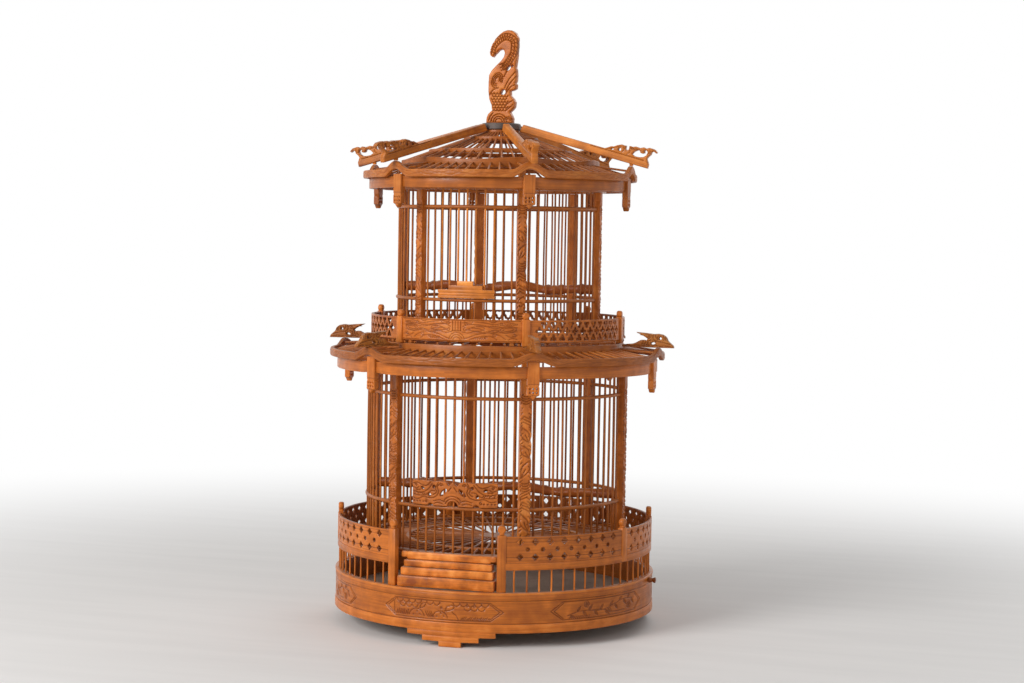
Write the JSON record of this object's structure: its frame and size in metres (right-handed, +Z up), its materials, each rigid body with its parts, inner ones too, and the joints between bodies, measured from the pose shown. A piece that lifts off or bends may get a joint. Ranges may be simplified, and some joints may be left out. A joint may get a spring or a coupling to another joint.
{
  "type": "two-storey hanging bird cage",
  "caption": "Hexagonal two-storey bamboo bird cage on a round drum base, with a gallery, a balcony, flared roofs and a carved hanging hook.",
  "frame": {"origin": "middle of the floor under the drum, at the level of the bottoms of the feet", "axes": "+Z up along the axis of the drum, -Y towards the stair and the doors, +X to the right of someone who faces the doors"},
  "size_m": [0.44, 0.407, 0.7154],
  "materials": {
    "lacquered_bamboo": "clear lacquer, satin",
    "carved_bamboo": "carved and lacquered, satin",
    "bamboo_splints": "lacquered splints, satin",
    "cane": "knotted cane, lacquered",
    "tray_board": "matte board",
    "black_horn": "dark horn, satin"
  },
  "bodies": {
    "cage": {"drum_foot_hoop": "lacquered_bamboo", "drum_band": "carved_bamboo", "drum_liner": "lacquered_bamboo", "floor_hoop": "lacquered_bamboo", "gallery_right": "lacquered_bamboo", "gallery_left": "lacquered_bamboo", "stair": "lacquered_bamboo", "cage_floor": "bamboo_splints", "lower_grille_1": "bamboo_splints", "lower_grille_2": "bamboo_splints", "lower_grille_3": "bamboo_splints", "lower_grille_4": "bamboo_splints", "lower_grille_5": "bamboo_splints", "lower_grille_6": "bamboo_splints", "lower_pillar_1": "carved_bamboo", "lower_pillar_2": "carved_bamboo", "lower_pillar_3": "carved_bamboo", "lower_pillar_4": "carved_bamboo", "lower_pillar_5": "carved_bamboo", "lower_pillar_6": "carved_bamboo", "lower_perch": "cane", "lower_eave_frame": "lacquered_bamboo", "lower_roof": "bamboo_splints", "lower_ridge_head_1": "carved_bamboo", "lower_ridge_head_2": "carved_bamboo", "lower_ridge_head_3": "carved_bamboo", "lower_ridge_head_4": "carved_bamboo", "lower_ridge_head_5": "carved_bamboo", "lower_ridge_head_6": "carved_bamboo", "balcony_deck": "lacquered_bamboo", "balcony_front_panel": "carved_bamboo", "balcony_railing": "lacquered_bamboo", "upper_grille_1": "bamboo_splints", "upper_grille_2": "bamboo_splints", "upper_grille_3": "bamboo_splints", "upper_grille_4": "bamboo_splints", "upper_grille_5": "bamboo_splints", "upper_grille_6": "bamboo_splints", "upper_pillar_1": "carved_bamboo", "upper_pillar_2": "carved_bamboo", "upper_pillar_3": "carved_bamboo", "upper_pillar_4": "carved_bamboo", "upper_pillar_5": "carved_bamboo", "upper_pillar_6": "carved_bamboo", "upper_perch": "cane", "upper_eave_frame": "lacquered_bamboo", "upper_roof": "bamboo_splints", "ridge_batten_1": "lacquered_bamboo", "ridge_batten_2": "lacquered_bamboo", "ridge_batten_3": "lacquered_bamboo", "ridge_batten_4": "lacquered_bamboo", "ridge_batten_5": "lacquered_bamboo", "ridge_batten_6": "lacquered_bamboo", "hub": "black_horn"},
    "droppings_tray": {"droppings_tray": "tray_board"},
    "lower_door": {"lower_door": "carved_bamboo"},
    "upper_door": {"upper_door": "carved_bamboo"},
    "hook": {"hook": "carved_bamboo"},
    "lock_peg_right": {"lock_peg_right": "black_horn"},
    "lock_peg_left": {"lock_peg_left": "black_horn"}
  },
  "joints": [
    {"name": "lower_door_slide", "type": "slide", "parent": "cage", "child": "lower_door", "axis": [0, 0, 1], "range_m": [0, 0.09]},
    {"name": "upper_door_slide", "type": "slide", "parent": "cage", "child": "upper_door", "axis": [0, 0, 1], "range_m": [0, 0.06]},
    {"name": "tray_lift", "type": "slide", "parent": "cage", "child": "droppings_tray", "axis": [0, 0, 1], "range_m": [0, 0.018]},
    {"name": "lock_peg_right_slide", "type": "slide", "parent": "cage", "child": "lock_peg_right", "axis": [1, 0, 0], "range_m": [0, 0.018]},
    {"name": "lock_peg_left_slide", "type": "slide", "parent": "cage", "child": "lock_peg_left", "axis": [-1, 0, 0], "range_m": [0, 0.018]},
    {"name": "hook_swivel", "type": "hinge", "parent": "cage", "child": "hook", "pos_m": [0, 0, 0.6], "axis": [0, 0, 1], "continuous": true}
  ]
}
